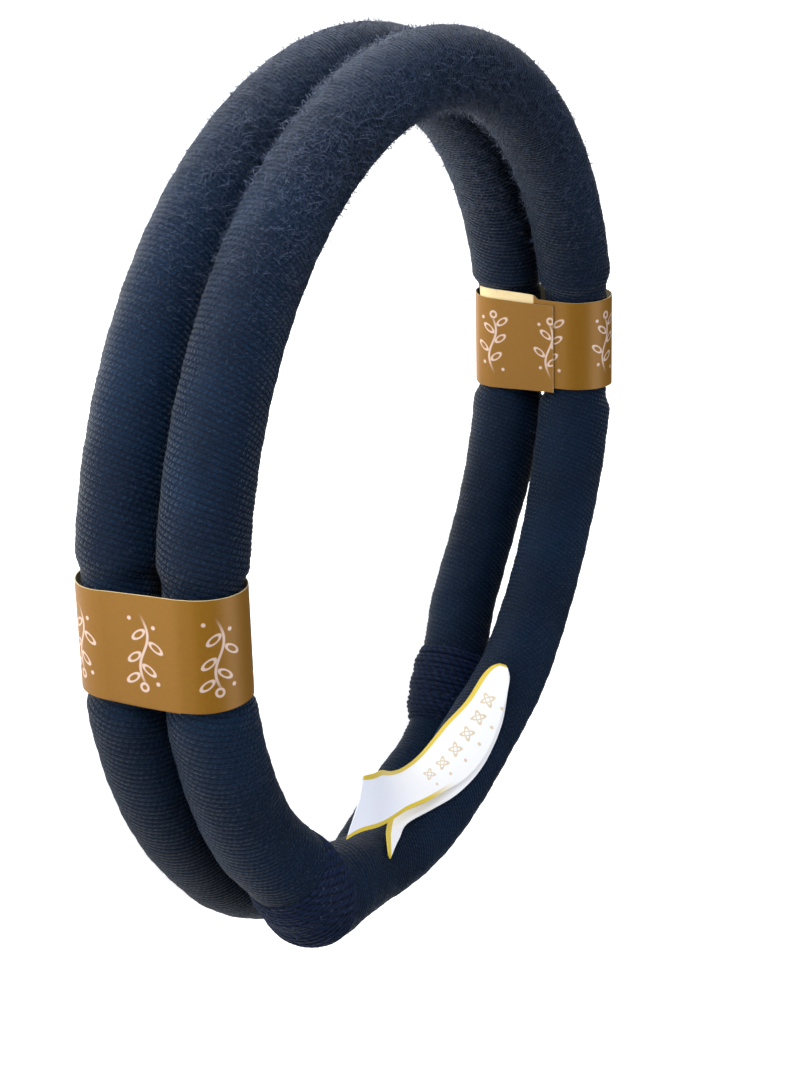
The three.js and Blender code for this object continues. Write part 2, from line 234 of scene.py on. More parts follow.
def wound_cord(name, middle, girth, fuzz_cover, material):
    """The cord with every winding of its yarn, leaning a little, thinner under the bands."""
    length, angle_at = angle_by_length(middle)
    rows = round(length / WINDING) * WINDING_ROWS
    step = length / rows
    i, k = np.meshgrid(np.arange(rows), np.arange(SIDES), indexing="ij")
    at = angle_at(i * step + k / SIDES * WINDING_LEAN * WINDING_ROWS * step)
    turn = 2 * np.pi * k / SIDES - np.pi / 2
    centre = middle(at)
    out = outward(middle, at)
    ridge = np.where(i % WINDING_ROWS == 0, -0.6, 0.4) * RIDGE
    uneven = 0.06 * np.sin(at * 0.9 + 2 * turn) + 0.05 * np.sin(at * 2.3 + turn + 1.7)
    share = along(girth, at) * pressed(at)
    wide = CORD_WIDTH / 2 * share * 1.004 + ridge + uneven
    tall = CORD_HEIGHT / 2 * share * 1.004 + ridge + uneven
    points = centre + out * (wide * np.cos(turn))[..., None]
    points[..., 2] += tall * np.sin(turn)
    points[..., 2] = np.maximum(points[..., 2], OFF_FLOOR)
    i, k = i.ravel(), k.ravel()
    shift = np.where(k == SIDES - 1, WINDING_LEAN * WINDING_ROWS, 0)
    after = (k + 1) % SIDES
    here = i * SIDES + k
    ahead = (i + 1) % rows * SIDES + k
    far = (i + 1 + shift) % rows * SIDES + after
    beside = (i + shift) % rows * SIDES + after
    faces = np.stack([here, ahead, far, beside], 1)
    u, v = i * WINDING / WINDING_ROWS, k * CORD_GIRTH / SIDES
    u_step, v_step = WINDING / WINDING_ROWS, CORD_GIRTH / SIDES
    corners = [(u, v), (u + u_step, v), (u + u_step, v + v_step), (u, v + v_step)]
    uv = np.stack([np.stack(c, 1) for c in corners], 1)
    cover = fuzz_cover(at, turn).ravel()
    return new_mesh(name, points.reshape(-1, 3), faces, uv, [material], attribute=("fuzz", cover))


def away_from(at, middle, half, soft=1.0):
    away = np.abs(np.mod(at - middle + 180, 360) - 180)
    return smooth(half, half + soft, away)


def fuzz_share(at):
    """Fuzz is longest and thickest round the -Y end of the ring, and none lies under the bands."""
    share = 0.2 + 0.8 * smooth(0.1, 0.95, np.cos(np.radians(at - 262)))
    return share * away_from(at, NEAR_BAND["at"], UNDER_BAND) * away_from(at, FAR_BAND["at"], UNDER_BAND)


def lower_fuzz_cover(at, turn):
    middle = sum(LOWER_BINDING) / 2
    return fuzz_share(at) * away_from(at, middle, 5.0) * smooth(-0.995, -0.9, np.sin(turn))


def upper_fuzz_cover(at, turn):
    middle = sum(UPPER_BINDING) / 2
    inside = 1 - smooth(-0.3, 0.1, np.cos(turn))
    under_label = (1 - away_from(at, *UNDER_LABEL, 2)) * inside
    return fuzz_share(at) * away_from(at, middle, 5.6) * (1 - under_label)


def slab(name, sheet, marks, across, thickness, materials):
    """A thin closed sheet: its face in the first material, its back and rim in the second."""
    normal = np.cross(np.gradient(sheet, axis=0), np.gradient(sheet, axis=1))
    normal /= np.linalg.norm(normal, axis=-1, keepdims=True)
    n, m = sheet.shape[:2]
    front = sheet + normal * thickness / 2
    back = sheet - normal * thickness / 2
    points = np.concatenate([front.reshape(-1, 3), back.reshape(-1, 3)])
    faces, uv, material_of = [], [], []

    def add(corners, index):
        """A face from its corners' rows and columns, each with 0 on the face and 1 on the back."""
        faces.append([behind * n * m + i * m + k for i, k, behind in corners])
        uv.append([(marks[i], across[i][k]) for i, k, behind in corners])
        material_of.append(index)

    for i in range(n - 1):
        for k in range(m - 1):
            ring = [(i, k), (i + 1, k), (i + 1, k + 1), (i, k + 1)]
            add([(*corner, 0) for corner in ring], 0)
            add([(*corner, 1) for corner in ring[::-1]], 1)
    edge = [(i, 0) for i in range(n - 1)] + [(n - 1, k) for k in range(m - 1)]
    edge += [(i, m - 1) for i in range(n - 1, 0, -1)] + [(0, k) for k in range(m - 1, 0, -1)]
    for a, b in zip(edge, edge[1:] + edge[:1]):
        add([(*b, 0), (*a, 0), (*a, 1), (*b, 1)], 1)
    obj = new_mesh(name, points, faces, uv, materials, material_of)
    obj.data.set_sharp_from_angle(angle=math.radians(50))
    return obj


def band_outline(low, high):
    """Closed line round both cords, level and height, and its length up to each point."""
    half, tall = BAND_WIDTH / 2 - PAPER / 2, CORD_HEIGHT / 2 - PAPER / 2
    turn = np.linspace(0, np.pi, HALF_ROUND + 1)
    top = np.stack([half * np.cos(turn), high + tall * np.sin(turn)], 1)
    bottom = np.stack([-half * np.cos(turn), low - tall * np.sin(turn)], 1)
    line = np.concatenate([top, bottom, top[:1]])
    run = np.concatenate([[0], np.cumsum(np.linalg.norm(np.diff(line, axis=0), axis=1))])
    return line, run


def paper_band(name, band, materials):
    """A strip once round both cords and on over its own start."""
    at = band["at"]
    ends = (lower_middle(at - BAND_SPREAD) + lower_middle(at + BAND_SPREAD)) / 2
    base = (lower_middle(at) + ends) / 2
    high = upper_middle(at)
    out = outward(lower_middle, at)
    sideways = np.array([-out[1], out[0], 0])
    line, run = band_outline(base[2], high[2])
    total = run[-1]
    if band["side"] > 0:
        start = total - (high[2] - band["start"])
        lap = band["start"] - band["end"]
    else:
        start = run[HALF_ROUND] + (high[2] - band["start"])
        lap = band["end"] - band["start"]
    s = np.linspace(0, total + lap, int(total + lap))
    place = np.mod(start - s, total)

    def on_line(where):
        where = np.mod(where, total)
        return np.stack([np.interp(where, run, line[:, c]) for c in (0, 1)], 1)

    tangent = on_line(place + 0.4) - on_line(place - 0.4)
    tangent /= np.linalg.norm(tangent, axis=1, keepdims=True)
    normal = np.stack([tangent[:, 1], -tangent[:, 0]], 1)
    over_start = (LAP_RISE - 0.02) * smooth(total - 3, total, s)
    loose_end = 0.1 * smooth(total + lap - 2.5, total + lap, s)
    slack = 0.05 * np.sin(s * 0.21) * smooth(4, 12, s) * (1 - smooth(total - 14, total - 6, s))
    flat = on_line(place) + normal * (over_start + loose_end + slack)[:, None]
    share = np.linspace(-1, 1, BAND_COLUMNS)[None, :]
    on_tab = (1 - smooth(TAB_LENGTH, TAB_LENGTH + 1, s)) * (band["tab"] > 0)
    lip = (band["tab"] + 0.02 * (TAB_LENGTH - s)) * on_tab
    across = share * (BAND_LENGTH / 2) + (share + 1) / 2 * lip[:, None]
    skew = band["skew"] * (s / total - 0.5)
    lateral = across - skew[:, None] + 0.25 * share * np.sin(s * 0.13 + 1)[:, None]
    sheet = np.array([base[0], base[1], 0]) + np.zeros((len(s), BAND_COLUMNS, 3))
    sheet = sheet + out * flat[:, None, :1]
    sheet[..., 2] += flat[:, None, 1]
    sheet = sheet + sideways * lateral[..., None]
    return slab(name, sheet, s, across, PAPER - 0.04, materials)


def beside_upper(at, z, off):
    """A point beside the upper cord, over its round side above its middle."""
    centre = upper_middle(at)
    share = along(UPPER_GIRTH, at)
    tall = CORD_HEIGHT / 2 * share + off
    rise = np.clip((z - centre[..., 2]) / tall, 0, 1)
    wide = (CORD_WIDTH / 2 * share + off) * np.sqrt(1 - rise * rise)
    point = centre - outward(upper_middle, at) * wide[..., None]
    point[..., 2] = z
    return point


def spline(rows, per_span):
    """Catmull-Rom rows between the given ones."""
    rows = np.asarray(rows, float)
    padded = np.concatenate([2 * rows[:1] - rows[1:2], rows, 2 * rows[-1:] - rows[-2:-1]])
    made = []
    for i in range(len(rows) - 1):
        a, b, c, d = padded[i : i + 4]
        for t in np.arange(per_span) / per_span:
            made.append(b + 0.5 * t * (c - a + t * (2 * a - 5 * b + 4 * c - d + t * (3 * (b - c) + d - a))))
    return np.array(made + [rows[-1]])


def label_ribbon(name, materials):
    """The satin ribbon, from its tail up to the fold and down again to its free end."""
    rows = spline(LABEL, LABEL_ROWS)
    share = np.linspace(0, 1, LABEL_COLUMNS)[None, :, None]
    mixed = rows[:, None, :3] * (1 - share) + rows[:, None, 3:] * share
    sheet = beside_upper(mixed[..., 0], mixed[..., 1], mixed[..., 2])
    middle = sheet[:, LABEL_COLUMNS // 2]
    run = np.concatenate([[0], np.cumsum(np.linalg.norm(np.diff(middle, axis=0), axis=1))])
    fold = run[LABEL_FOLD_ROW * LABEL_ROWS]
    width = np.linalg.norm(sheet[:, -1] - sheet[:, 0], axis=1)
    across = share[..., 0] * width[:, None]
    obj = slab(name, sheet, run - fold, across, RIBBON, materials)
    edge = obj.data.attributes.new("ribbon_width", "FLOAT", "POINT")
    each = np.repeat(width, LABEL_COLUMNS)
    edge.data.foreach_set("value", np.concatenate([each, each]).astype(np.float32))
    return obj, float(run[-1])


def off_cord(middle, girth, at, turn, rise):
    """Points that far off the cord. The turn starts at the outside of the ring and runs over the top."""
    share = along(girth, at)
    wide, tall = CORD_WIDTH / 2 * share + rise, CORD_HEIGHT / 2 * share + rise
    points = middle(at) + outward(middle, at) * (wide * np.cos(turn))[..., None]
    points[..., 2] += tall * np.sin(turn)
    return points


def tapered(share):
    """1 over the middle of a binding, falling to 0 at both its ends."""
    return smooth(0, TAPER, share) * smooth(0, TAPER, 1 - share)


def yarn_tube(middle, girth, span, yarn, stand, turns, seed):
    """Points of the binding yarn, row by row, as it winds side by side round the cord."""
    random = np.random.default_rng(seed)
    count = turns * YARN_ROWS
    t = np.linspace(0, 1, count)
    knots = np.arange(0, count + WANDER_EVERY, WANDER_EVERY)
    wander = np.interp(np.arange(count), knots, random.normal(0, 1, len(knots)))
    at = span[0] + (span[1] - span[0]) * t + 0.12 * wander
    turn = 2 * np.pi * turns * t
    lump = np.interp(t, np.linspace(0, 1, 9), random.normal(0, 0.22, 9))
    rise = stand * (0.36 + 0.64 * tapered(t)) + lump * tapered(t) - yarn
    line = off_cord(middle, girth, at, turn, rise)
    way = np.gradient(line, axis=0)
    way /= np.linalg.norm(way, axis=1, keepdims=True)
    up = outward(middle, at) * np.cos(turn)[:, None]
    up[:, 2] += np.sin(turn)
    side = np.cross(way, up)
    side /= np.linalg.norm(side, axis=1, keepdims=True)
    up = np.cross(side, way)
    around = 2 * np.pi * np.arange(YARN_SIDES) / YARN_SIDES
    thick = yarn * (1 + 0.07 * np.interp(t, np.linspace(0, 1, 60), random.normal(0, 1, 60)))
    ring = np.cos(around)[None, :, None] * side[:, None] + np.sin(around)[None, :, None] * up[:, None]
    return line[:, None] + ring * thick[:, None, None]


def sleeve(middle, girth, span, stand):
    """Points of the sleeve under the yarn, loop by loop: its outer face, and back along its inner one."""
    there = np.linspace(span[0], span[1], SLEEVE_LOOPS)
    at = np.concatenate([there, there[::-1]])
    rise = 0.2 + stand * tapered((at - span[0]) / (span[1] - span[0]))
    rise[SLEEVE_LOOPS:] = 0.12
    turn = 2 * np.pi * np.arange(SLEEVE_SIDES) / SLEEVE_SIDES
    return off_cord(middle, girth, at[:, None] + np.zeros(SLEEVE_SIDES), turn, rise[:, None])


def wrapped_yarn(name, middle, girth, span, yarn, stand, turns, material, seed):
    """Thick yarn wound side by side round the cord, over a sleeve of the same yarn."""
    tube = yarn_tube(middle, girth, span, yarn, stand, turns, seed)
    loops = sleeve(middle, girth, span, stand - yarn)
    count, sides = tube.shape[:2]
    faces, uv = [], []
    run = np.arange(count) * WRAP_GIRTH / YARN_ROWS
    for i in range(count - 1):
        for k in range(sides):
            n = (k + 1) % sides
            faces.append([i * sides + k, i * sides + n, (i + 1) * sides + n, (i + 1) * sides + k])
            u0, u1, v0, v1 = run[i], run[i + 1], k * 0.7, (k + 1) * 0.7
            uv.append([(u0, v0), (u0, v1), (u1, v1), (u1, v0)])
    base, total = count * sides, len(loops)
    for i in range(total):
        here, ahead = base + i * SLEEVE_SIDES, base + (i + 1) % total * SLEEVE_SIDES
        for k in range(SLEEVE_SIDES):
            n = (k + 1) % SLEEVE_SIDES
            faces.append([here + k, ahead + k, ahead + n, here + n])
            u0, u1, v0, v1 = i * 1.5, i * 1.5 + 1.5, k * 1.6, k * 1.6 + 1.6
            uv.append([(u0, v0), (u1, v0), (u1, v1), (u0, v1)])
    for row, order in ((0, -1), (count - 1, 1)):
        for k in range(1, sides // 2):
            end = [row * sides + c for c in (k - 1, k, sides - 1 - k, (sides - k) % sides)]
            faces.append(end[::order])
            uv.append([(0, 0), (0.5, 0), (0.5, 0.5), (0, 0.5)])
    points = np.concatenate([tube.reshape(-1, 3), loops.reshape(-1, 3)])
    points[:, 2] = np.maximum(points[:, 2], OFF_FLOOR)
    return new_mesh(name, points, faces, uv, [material], attribute=("fuzz", np.ones(len(points))))


# ---- nodes ----
MATH, RANGE, NOISE, MIX = "ShaderNodeMath", "ShaderNodeMapRange", "ShaderNodeTexNoise", "ShaderNodeMix"
SOFT = {"interpolation_type": "SMOOTHSTEP"}
TINT = {"data_type": "RGBA"}


def colour(text):
    """Linear colour of an sRGB hex value."""
    parts = [int(text[i : i + 2], 16) / 255 for i in (0, 2, 4)]
    linear = [p / 12.92 if p <= 0.04045 else ((p + 0.055) / 1.055) ** 2.4 for p in parts]
    return (*linear, 1.0)


def node(tree, kind, inputs=(), **settings):
    """Adds a node, sets it, and links or sets its inputs. Given a node as input, it links its result."""
    made = tree.nodes.new(kind)
    for name, value in settings.items():
        setattr(made, name, value)
    sockets = [socket for socket in made.inputs if socket.enabled]
    for key, value in inputs.items() if isinstance(inputs, dict) else enumerate(inputs):
        socket = sockets[key] if isinstance(key, int) else next(s for s in sockets if s.name == key)
        if isinstance(value, bpy.types.Node):
            value = next(s for s in value.outputs if s.enabled)
        if isinstance(value, bpy.types.NodeSocket):
            tree.links.new(value, socket)
        else:
            socket.default_value = value
    return made


def material(name):
    made = bpy.data.materials.new(name)
    made.use_nodes = True
    made.node_tree.nodes.clear()
    return made, made.node_tree


def finish_material(tree, inputs):
    shader = node(tree, "ShaderNodeBsdfPrincipled", inputs)
    node(tree, "ShaderNodeOutputMaterial", {"Surface": shader})


def yarn_marks(tree):
    """Millimetres along and across the piece, from its own UV map."""
    marks = node(tree, "ShaderNodeUVMap", uv_map="millimetres").outputs[0]
    parts = node(tree, "ShaderNodeSeparateXYZ", (marks,)).outputs
    return marks, parts[0], parts[1]


def plies(tree, twist):
    """1 on each ply of a twisted yarn, 0 between two plies."""
    wave = node(tree, MATH, (twist, math.pi), operation="MULTIPLY")
    wave = node(tree, MATH, (wave,), operation="SINE")
    return node(tree, MATH, (wave,), operation="ABSOLUTE")


# ---- materials ----
def wound_wool():
    """Dark navy wool yarn: grooves darkened with painted shade, paler ridge tops in random patches as
    painted highlight, twisted plies that glint, and a grey bloom at grazing angles, dimmed towards both ends
    along Y as painted shade.
    """
    made, tree = material("wound navy wool")
    marks, u, v = yarn_marks(tree)
    place = node(tree, "ShaderNodeTexCoord").outputs["Object"]
    along_y = node(tree, "ShaderNodeSeparateXYZ", (place,)).outputs[1]
    winding = node(tree, MATH, (u, WINDING), operation="DIVIDE")
    whole = node(tree, MATH, (winding,), operation="FLOOR")
    part = node(tree, MATH, (winding,), operation="FRACT")
    groove = node(tree, MATH, (part, 2.0, -1.0), operation="MULTIPLY_ADD")
    groove = node(tree, MATH, (groove,), operation="ABSOLUTE")
    ridge = node(tree, RANGE, (groove, 1.0, 0.35), **SOFT)
    drift = node(tree, NOISE, {"Vector": place, "Scale": 90.0, "Detail": 2.0})
    twist = node(tree, MATH, (whole, 0.5, part), operation="MULTIPLY_ADD")
    twist = node(tree, MATH, (drift, 3.0, twist), operation="MULTIPLY_ADD")
    twist = node(tree, MATH, (v, 1 / PLY, twist), operation="MULTIPLY_ADD")
    ply = node(tree, RANGE, (plies(tree, twist), 0.0, 0.75), **SOFT)
    fibre = node(tree, NOISE, {"Vector": marks, "Scale": 1.4, "Detail": 4.0, "Roughness": 0.7})
    height = node(tree, MATH, (ridge, 0.6), operation="MULTIPLY")
    height = node(tree, MATH, (ply, 0.4, height), operation="MULTIPLY_ADD")
    rough = node(tree, RANGE, (fibre, 0.3, 0.7, 0.35, 1.2), **SOFT)
    height = node(tree, MATH, (height, rough), operation="MULTIPLY")
    top = node(tree, MATH, (ridge, ply), operation="MULTIPLY")
    # painted highlight: the ridge tops are paler, in random patches
    painted_ridge_highlight = node(tree, RANGE, (fibre, 0.42, 0.72, 0.0, 0.75), **SOFT)
    painted_ridge_highlight = node(tree, MATH, (top, painted_ridge_highlight), operation="MULTIPLY")
    shine = node(tree, RANGE, (fibre, 0.3, 0.55), **SOFT)
    shine = node(tree, MATH, (top, shine), operation="MULTIPLY")
    shine = node(tree, RANGE, (shine, 0.0, 0.9, 0.05, 1.0), **SOFT)
    # painted shade: the sheen fades towards the +Y end of the ring, so that end reads darker
    painted_shade_plus_y = node(tree, RANGE, (along_y, -0.03, 0.09, 0.9, 0.12), **SOFT)
    # painted shade: the sheen is also lowered at the far -Y end, so that end reads darker
    painted_shade_minus_y = node(tree, RANGE, (along_y, -0.12, -0.04, 0.32, 1.0), **SOFT)
    bloom = node(tree, MATH, (shine, painted_shade_plus_y), operation="MULTIPLY")
    patches = node(tree, NOISE, {"Vector": place, "Scale": 34.0, "Detail": 3.0})
    patches = node(tree, RANGE, (patches, 0.35, 0.65), **SOFT)
    body = node(tree, MIX, (patches, colour("021123"), colour("041a2f")), **TINT)
    body = node(tree, MIX, (painted_ridge_highlight, body, colour("13324c")), **TINT)
    # painted shade: the grooves between the windings and between the plies are darkened
    painted_hollow_shade = node(tree, RANGE, (height, 0.0, 0.45), **SOFT)
    body = node(tree, MIX, (painted_hollow_shade, colour("020814"), body), **TINT)
    lint = node(tree, NOISE, {"Vector": place, "Scale": 1100.0, "Detail": 1.0})
    lint = node(tree, RANGE, (lint, 0.86, 0.9, 0.0, 0.5), **SOFT)
    finish_material(tree, {
        "Base Color": node(tree, MIX, (lint, body, colour("8d99aa")), **TINT),
        "Roughness": 0.5,
        "Specular IOR Level": 0.1,
        "Sheen Weight": node(tree, MATH, (bloom, painted_shade_minus_y), operation="MULTIPLY"),
        "Sheen Roughness": 0.07,
        "Sheen Tint": colour("eae2cf"),
        "Normal": node(tree, "ShaderNodeBump", {"Height": height, "Strength": 0.9, "Distance": 0.0003}),
    })
    return made


def wool_hair():
    """Loose wool hairs: paler than the yarn, so that they show as a soft grey down on its lit sides."""
    made, tree = material("loose wool hairs")
    place = node(tree, "ShaderNodeTexCoord").outputs["Object"]
    each = node(tree, NOISE, {"Vector": place, "Scale": 2600.0, "Detail": 1.0})
    pale = node(tree, RANGE, (each, 0.38, 0.74), **SOFT)
    tint = node(tree, MIX, (pale, colour("091427"), colour("4c5b74")), **TINT)
    finish_material(tree, {"Base Color": tint, "Roughness": 0.6, "Specular IOR Level": 0.3})
    return made


def binding_wool():
    """The thick binding yarn: darker, with the slanting marks of its twist, whose hollows carry painted
    shade.
    """
    made, tree = material("thick binding yarn")
    marks, u, v = yarn_marks(tree)
    place = node(tree, "ShaderNodeTexCoord").outputs["Object"]
    twist = node(tree, MATH, (u, 2.4), operation="DIVIDE")
    twist = node(tree, MATH, (v, 1 / 3.5, twist), operation="MULTIPLY_ADD")
    ply = node(tree, RANGE, (plies(tree, twist), 0.0, 0.8), **SOFT)
    fibre = node(tree, NOISE, {"Vector": marks, "Scale": 4.0, "Detail": 4.0, "Roughness": 0.65})
    height = node(tree, MATH, (fibre, 0.5, ply), operation="MULTIPLY_ADD")
    # painted shade between the plies, with random tone from the fibre noise
    painted_hollow_shade = node(tree, RANGE, (height, 0.3, 1.3), **SOFT)
    body = node(tree, MIX, (painted_hollow_shade, colour("030919"), colour("0a1a33")), **TINT)
    flecks = node(tree, NOISE, {"Vector": place, "Scale": 900.0, "Detail": 0.0})
    flecks = node(tree, RANGE, (flecks, 0.78, 0.83, 0.0, 0.4), **SOFT)
    finish_material(tree, {
        "Base Color": node(tree, MIX, (flecks, body, colour("4a5870")), **TINT),
        "Roughness": 0.65,
        "Specular IOR Level": 0.1,
        "Sheen Weight": 0.04,
        "Sheen Roughness": 0.5,
        "Sheen Tint": colour("a9b6c8"),
        "Normal": node(tree, "ShaderNodeBump", {"Height": height, "Strength": 0.7, "Distance": 0.00018}),
    })
    return made


def leaf(tree, x, y, at_x, at_y, tilt, long, short):
    """How far out of an ellipse a point is: 1 on its outline, less inside."""
    c, s = math.cos(tilt), math.sin(tilt)
    total = None
    for x_part, y_part in ((c / long, s / long), (-s / short, c / short)):
        here = node(tree, MATH, (y, y_part, -at_x * x_part - at_y * y_part), operation="MULTIPLY_ADD")
        here = node(tree, MATH, (x, x_part, here), operation="MULTIPLY_ADD")
        total = node(tree, MATH, (here, here, total or 0.0), operation="MULTIPLY_ADD")
    return node(tree, MATH, (total,), operation="SQRT")


def stroke(tree, value, middle, half):
    """1 where the value is within half of the middle, with a soft edge."""
    away = node(tree, MATH, (value, middle), operation="SUBTRACT")
    away = node(tree, MATH, (away,), operation="ABSOLUTE")
    return node(tree, RANGE, (away, half * 1.35, half * 0.65), **SOFT)


def repeated(tree, u, start, every):
    """Millimetres from the middle of the pattern's repeat."""
    turn = node(tree, MATH, (u, start), operation="SUBTRACT")
    turn = node(tree, MATH, (turn, every), operation="DIVIDE")
    part = node(tree, MATH, (turn,), operation="FRACT")
    return node(tree, MATH, (part, every, -every / 2), operation="MULTIPLY_ADD")


STEM_WAVE, STEM_SWAY = 0.42, 1.1  # radians a millimetre, and millimetres
SPRIG_LEAVES = ((-4.6, 1), (-2.0, -1), (0.6, 1), (3.2, -1), (5.4, 1))  # along the stem, side
SPRIG_DOTS = ((3.1, -7.2), (-2.6, -5.6), (-3.0, 6.9))


def sprig(tree, x, y):
    """A plain leafy sprig along y, about 17 mm long."""
    wave = node(tree, MATH, (y, STEM_WAVE), operation="MULTIPLY")
    wave = node(tree, MATH, (wave,), operation="SINE")
    beside = node(tree, MATH, (wave, -STEM_SWAY, x), operation="MULTIPLY_ADD")
    stem = stroke(tree, beside, 0.0, 0.3)
    ink = node(tree, MATH, (stem, stroke(tree, y, 0.0, 6.6)), operation="MULTIPLY")
    marks = []
    for at_y, side in SPRIG_LEAVES:
        at_x = STEM_SWAY * math.sin(STEM_WAVE * at_y) + side * 2.1
        marks.append(stroke(tree, leaf(tree, x, y, at_x, at_y + 0.9, side * 0.62, 1.9, 0.85), 0.85, 0.22))
    marks.append(stroke(tree, leaf(tree, x, y, 0.35, 8.1, 0.0, 1.0, 1.0), 0.85, 0.28))
    for at_x, at_y in SPRIG_DOTS:
        dot = leaf(tree, x, y, at_x, at_y, 0.0, 0.5, 0.5)
        marks.append(node(tree, RANGE, (dot, 1.15, 0.75), **SOFT))
    for mark in marks:
        ink = node(tree, MATH, (ink, mark), operation="MAXIMUM")
    return ink


def gold_paper(name, first, tab_length):
    """Brown-gold printed paper: a satin glaze that turns lighter gold at grazing angles, pale print."""
    made, tree = material(name)
    marks, u, v = yarn_marks(tree)
    ink = sprig(tree, repeated(tree, u, -first, PRINT_REPEAT), v)
    ink = node(tree, MATH, (ink, 0.9), operation="MULTIPLY")
    grain = node(tree, NOISE, {"Vector": marks, "Scale": 1.2, "Detail": 4.0, "Roughness": 0.6})
    body = node(tree, MIX, (grain, colour("7b5314"), colour("875e19")), **TINT)
    body = node(tree, MIX, (ink, body, colour("ccb3a2")), **TINT)
    tab = node(tree, RANGE, (u, tab_length + 0.2, tab_length - 0.2), **SOFT)
    finish_material(tree, {
        "Base Color": node(tree, MIX, (tab, body, colour("d9c493")), **TINT),
        "Metallic": 0.12,
        "Roughness": node(tree, RANGE, (grain, 0.3, 0.7, 0.4, 0.48), **SOFT),
        "Specular IOR Level": 0.2,
        "Normal": node(tree, "ShaderNodeBump", {"Height": grain, "Strength": 0.25, "Distance": 0.0001}),
    })
    return made


def paper_core():
    """The unprinted back and the cut edge of the paper, cream, so that each edge draws a light line."""
    made, tree = material("cream paper back")
    marks = node(tree, "ShaderNodeUVMap", uv_map="millimetres")
    grain = node(tree, NOISE, {"Vector": marks, "Scale": 2.0, "Detail": 3.0})
    body = node(tree, MIX, (grain, colour("cdb884"), colour("e2d2a6")), **TINT)
    finish_material(tree, {"Base Color": body, "Roughness": 0.75})
    return made


FLOWER_REPEAT = 6.5
PETAL = (2.3, 0.8)  # half length and half width


def gilt_flowers(tree, u, v, width):
    """A row of small four-petalled flowers with a dot beside each, on the label's arm."""
    x = repeated(tree, u, 10.0, FLOWER_REPEAT)
    y = node(tree, MATH, (width, -0.55, v), operation="MULTIPLY_ADD")
    one = stroke(tree, leaf(tree, x, y, 0.0, 0.0, 0.7, *PETAL), 0.85, 0.2)
    other = stroke(tree, leaf(tree, x, y, 0.0, 0.0, -0.7, *PETAL), 0.85, 0.2)
    dot = node(tree, RANGE, (leaf(tree, x, y, 0.0, 4.0, 0.0, 0.45, 0.45), 1.2, 0.8), **SOFT)
    flower = node(tree, MATH, (one, other), operation="MAXIMUM")
    flower = node(tree, MATH, (flower, dot), operation="MAXIMUM")
    starts = node(tree, RANGE, (u, 9.0, 11.0), **SOFT)
    ends = node(tree, RANGE, (u, 50.0, 48.0), **SOFT)
    stretch = node(tree, MATH, (starts, ends), operation="MULTIPLY")
    return node(tree, MATH, (flower, stretch), operation="MULTIPLY")


def gilt_border(tree, u, v, width):
    """The woven border: along the low edge, along the high edge past the arm, and over the fold."""
    low_edge = node(tree, RANGE, (v, 1.6, 1.35), **SOFT)
    on_arm = node(tree, RANGE, (u, -1.0, 1.0), **SOFT)
    near_tail = node(tree, RANGE, (u, -58.0, -60.0), **SOFT)
    where = node(tree, MATH, (on_arm, near_tail), operation="MAXIMUM")
    low_edge = node(tree, MATH, (low_edge, where), operation="MULTIPLY")
    inward = node(tree, MATH, (width, v), operation="SUBTRACT")
    high_edge = node(tree, RANGE, (inward, 1.15, 0.95), **SOFT)
    past_fold = node(tree, RANGE, (u, 38.0, 52.0), **SOFT)
    high_edge = node(tree, MATH, (high_edge, past_fold), operation="MULTIPLY")
    border = node(tree, MATH, (low_edge, high_edge), operation="MAXIMUM")
    return node(tree, MATH, (border, stroke(tree, u, 0.2, 0.9)), operation="MAXIMUM")


def label_satin(name, print_strength):
    """White satin with a woven gilt border, with soft streaks across it, and faint gilt flowers."""
    made, tree = material(name)
    marks, u, v = yarn_marks(tree)
    width = node(tree, "ShaderNodeAttribute", attribute_name="ribbon_width").outputs["Fac"]
    streaks = node(tree, "ShaderNodeVectorMath", (marks, (0.4, 9.0, 1.0)), operation="MULTIPLY")
    weft = node(tree, NOISE, {"Vector": streaks, "Scale": 2.0, "Detail": 2.0})
    cloth = node(tree, MIX, (weft, colour("f1eee8"), colour("fdfcf8")), **TINT)
    ink = node(tree, MATH, (gilt_flowers(tree, u, v, width), print_strength), operation="MULTIPLY")
    cloth = node(tree, MIX, (ink, cloth, colour("cba748")), **TINT)
    # painted shade: the label's free end is tinted a cooler bluish white
    shaded_free_end = node(tree, RANGE, (u, 50.0, 75.0), **SOFT)
    bluish_painted_shade = node(tree, MIX, (0.5, cloth, colour("e8ecfa")), **TINT)
    cloth = node(tree, MIX, (shaded_free_end, cloth, bluish_painted_shade), **TINT)
    finish_material(tree, {
        "Base Color": node(tree, MIX, (gilt_border(tree, u, v, width), cloth, colour("d8bb2c")), **TINT),
        "Roughness": 0.42,
        "Specular IOR Level": 0.45,
        "Sheen Weight": 0.15,
        "Normal": node(tree, "ShaderNodeBump", {"Height": weft, "Strength": 0.3, "Distance": 0.0001}),
    })
    return made


def pale_floor():
    """A white backlit table, as under studio goods: an even white ground with hardly a shadow."""
    made, tree = material("white light table")
    place = node(tree, "ShaderNodeTexCoord").outputs["Object"]
    along_y = node(tree, "ShaderNodeSeparateXYZ", (place,)).outputs[1]
    finish_material(tree, {
        "Base Color": colour("f4f4f3"),
        "Roughness": 0.9,
        "Emission Color": colour("fcfcfc"),
        "Emission Strength": node(tree, RANGE, (along_y, -0.16, 0.08, 3.2, 1.0), **SOFT),
    })
    return made


# ---- geometry nodes ----
FUZZ_INPUTS = (
    ("Hairs per square metre", "NodeSocketFloat", 1850000.0),
    ("Hair length", "NodeSocketFloat", 0.0012),
    ("Hair thickness", "NodeSocketFloat", 0.000044),
    ("Least lean", "NodeSocketFloat", 0.3),
    ("Most lean", "NodeSocketFloat", 1.15),
    ("Seed", "NodeSocketInt", 1),
)


